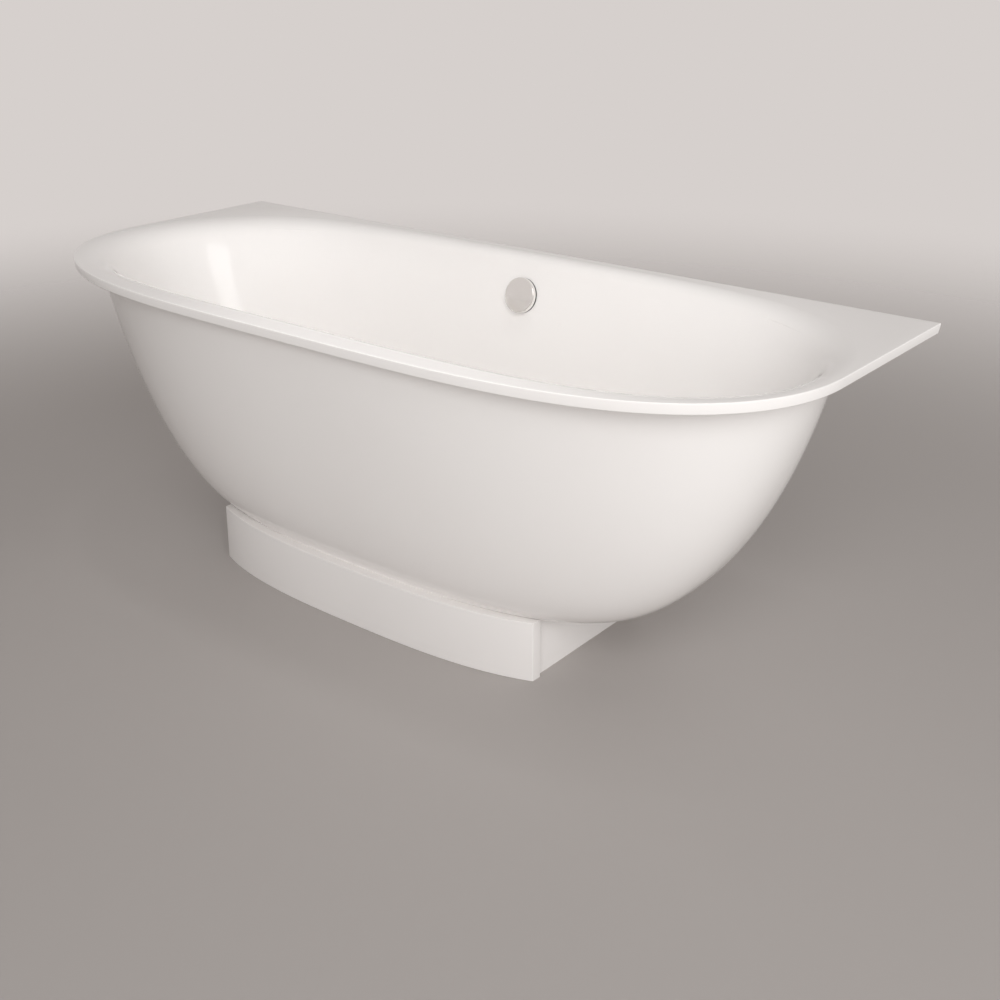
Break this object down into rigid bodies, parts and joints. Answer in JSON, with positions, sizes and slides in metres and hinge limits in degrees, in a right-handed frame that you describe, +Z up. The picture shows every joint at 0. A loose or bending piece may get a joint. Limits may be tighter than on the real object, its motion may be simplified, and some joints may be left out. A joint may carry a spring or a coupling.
{
  "type": "bathtub",
  "caption": "White back-to-wall bathtub with a D-shaped rim and a rounded double-skin body on a low bowed plinth; a knob over the overflow lifts the drain plug.",
  "frame": {"origin": "on the floor, in the middle of the bath's length and width", "axes": "+X along the bath to the right as seen from the front, +Y towards the wall, +Z up"},
  "size_m": [1.8, 0.78, 0.645],
  "materials": {
    "acrylic": "gloss",
    "painted_board": "satin paint",
    "chipboard": "raw",
    "softwood": "raw",
    "zinc_steel": "zinc plated",
    "pad_plastic": "moulded",
    "chrome": "polished",
    "satin_chrome": "satin",
    "stainless": "plain",
    "brass": "turned",
    "seal_rubber": "moulded",
    "pipe_plastic": "moulded",
    "hose_plastic": "flexible",
    "cable_plastic": "extruded"
  },
  "bodies": {
    "bath": {"basin": "acrylic", "outer_shell": "acrylic", "plinth_front": "painted_board", "plinth_left": "painted_board", "plinth_right": "painted_board", "plinth_back": "painted_board", "base_board": "chipboard", "corner_blocks": "softwood", "support_rail_left": "zinc_steel", "support_rail_right": "zinc_steel", "rail_screws": "zinc_steel", "block_screws": "zinc_steel", "foot_sockets": "zinc_steel", "foot_lock_nuts": "zinc_steel", "waste_flange": "chrome", "overflow_plate": "stainless", "overflow_screws": "stainless", "waste_gasket": "seal_rubber", "overflow_gasket": "seal_rubber", "waste_body": "pipe_plastic", "trap_body": "pipe_plastic", "trap_nut": "pipe_plastic", "trap_outlet": "pipe_plastic", "outlet_nut": "pipe_plastic", "overflow_body": "pipe_plastic", "hose_nuts": "pipe_plastic", "overflow_hose": "hose_plastic", "cable_sheath": "cable_plastic"},
    "knob": {"overflow_knob": "satin_chrome", "knob_spindle": "brass", "knob_grub_screw": "stainless", "cable_drum": "pipe_plastic"},
    "plug": {"plug_cap": "chrome", "plug_seal": "seal_rubber", "plug_stem": "brass", "plug_lock_nut": "brass"},
    "lifter": {"lifter_lever": "brass", "lifter_shaft": "brass"},
    "foot_front_left": {"foot_stud_front_left": "zinc_steel", "foot_pad_front_left": "pad_plastic"},
    "foot_front_right": {"foot_stud_front_right": "zinc_steel", "foot_pad_front_right": "pad_plastic"},
    "foot_back_left": {"foot_stud_back_left": "zinc_steel", "foot_pad_back_left": "pad_plastic"},
    "foot_back_right": {"foot_stud_back_right": "zinc_steel", "foot_pad_back_right": "pad_plastic"}
  },
  "joints": [
    {"name": "knob_turn", "type": "hinge", "parent": "bath", "child": "knob", "pos_m": [0, 0.32601, 0.558], "axis": [0, -0.9659, 0.2588], "range_deg": [0, 90]},
    {"name": "plug_lift", "type": "slide", "parent": "bath", "child": "plug", "axis": [0, 0, 1], "range_m": [0, 0.009]},
    {"name": "lifter_turn", "type": "hinge", "parent": "bath", "child": "lifter", "pos_m": [0, 0.07949, 0.14], "axis": [-1, 0, 0], "range_deg": [0, 26]},
    {"name": "foot_front_left_screw", "type": "slide", "parent": "bath", "child": "foot_front_left", "axis": [0, 0, -1], "range_m": [0, 0.012]},
    {"name": "foot_front_right_screw", "type": "slide", "parent": "bath", "child": "foot_front_right", "axis": [0, 0, -1], "range_m": [0, 0.012]},
    {"name": "foot_back_left_screw", "type": "slide", "parent": "bath", "child": "foot_back_left", "axis": [0, 0, -1], "range_m": [0, 0.012]},
    {"name": "foot_back_right_screw", "type": "slide", "parent": "bath", "child": "foot_back_right", "axis": [0, 0, -1], "range_m": [0, 0.012]}
  ],
  "couplings": [
    {"joint": "plug_lift", "follows": "knob_turn", "m_per_rad": 0.0057295},
    {"joint": "lifter_turn", "follows": "knob_turn", "ratio": 0.2888}
  ]
}
